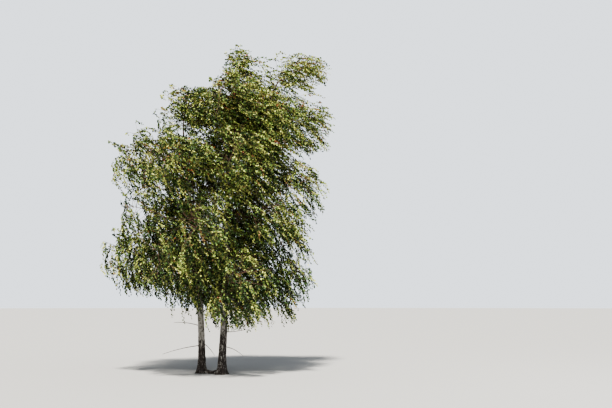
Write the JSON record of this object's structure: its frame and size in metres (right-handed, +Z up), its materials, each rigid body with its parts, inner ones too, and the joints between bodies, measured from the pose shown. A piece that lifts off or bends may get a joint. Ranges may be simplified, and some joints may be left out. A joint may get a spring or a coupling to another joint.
{
  "type": "two-stemmed birch tree",
  "caption": "Whole rooted birch tree with two leaning stems from one root, a loose wind-blown crown and a flat cut at ground level.",
  "frame": {"origin": "on the ground, in the middle of the main stem's flat foot", "axes": "+Z up along the height, +X to the right as seen from the front, where the wind blows to, +Y away from the viewer"},
  "size_m": [5.668, 4.595, 7.8294],
  "materials": {
    "stem_bark": "pale papery bark, dark and fissured at the foot",
    "limb_bark": "smooth grey to reddish brown bark with pale lines across",
    "dead_wood": "dull weathered wood",
    "foliage": "thin satin leaves on dark brown twigs"
  },
  "bodies": {
    "root": {"dead_limb_1": "dead_wood", "dead_limb_2": "dead_wood", "dead_limb_3": "dead_wood", "dead_limb_4": "dead_wood", "dead_limb_5": "dead_wood", "dead_limb_6": "dead_wood", "leader_right": "limb_bark", "lower_back_left_bough": "limb_bark", "lower_back_left_foliage": "foliage", "lower_back_right_bough": "limb_bark", "lower_back_right_foliage": "foliage", "lower_front_left_bough": "limb_bark", "lower_front_left_foliage": "foliage", "lower_front_right_bough": "limb_bark", "lower_front_right_foliage": "foliage", "lower_left_bough": "limb_bark", "lower_left_foliage": "foliage", "lower_right_bough": "limb_bark", "lower_right_foliage": "foliage", "middle_back_left_bough": "limb_bark", "middle_back_left_foliage": "foliage", "middle_back_right_bough": "limb_bark", "middle_back_right_foliage": "foliage", "middle_front_left_bough": "limb_bark", "middle_front_left_foliage": "foliage", "middle_front_right_bough": "limb_bark", "middle_front_right_foliage": "foliage", "middle_left_bough": "limb_bark", "middle_left_foliage": "foliage", "middle_right_bough": "limb_bark", "middle_right_foliage": "foliage", "skirt_back_left_bough": "limb_bark", "skirt_back_left_foliage": "foliage", "skirt_back_right_bough": "limb_bark", "skirt_back_right_foliage": "foliage", "skirt_front_left_bough": "limb_bark", "skirt_front_left_foliage": "foliage", "skirt_front_right_bough": "limb_bark", "skirt_front_right_foliage": "foliage", "skirt_left_bough": "limb_bark", "skirt_left_foliage": "foliage", "skirt_right_bough": "limb_bark", "skirt_right_foliage": "foliage", "stem_left": "stem_bark", "stem_main": "stem_bark", "top_inner_bough": "limb_bark", "top_inner_foliage": "foliage", "top_left_foliage": "foliage", "top_main_foliage": "foliage", "top_right_foliage": "foliage", "upper_back_left_bough": "limb_bark", "upper_back_left_foliage": "foliage", "upper_back_right_bough": "limb_bark", "upper_back_right_foliage": "foliage", "upper_front_left_bough": "limb_bark", "upper_front_left_foliage": "foliage", "upper_front_right_bough": "limb_bark", "upper_front_right_foliage": "foliage", "upper_right_bough": "limb_bark", "upper_right_foliage": "foliage"}
  },
  "joints": []
}
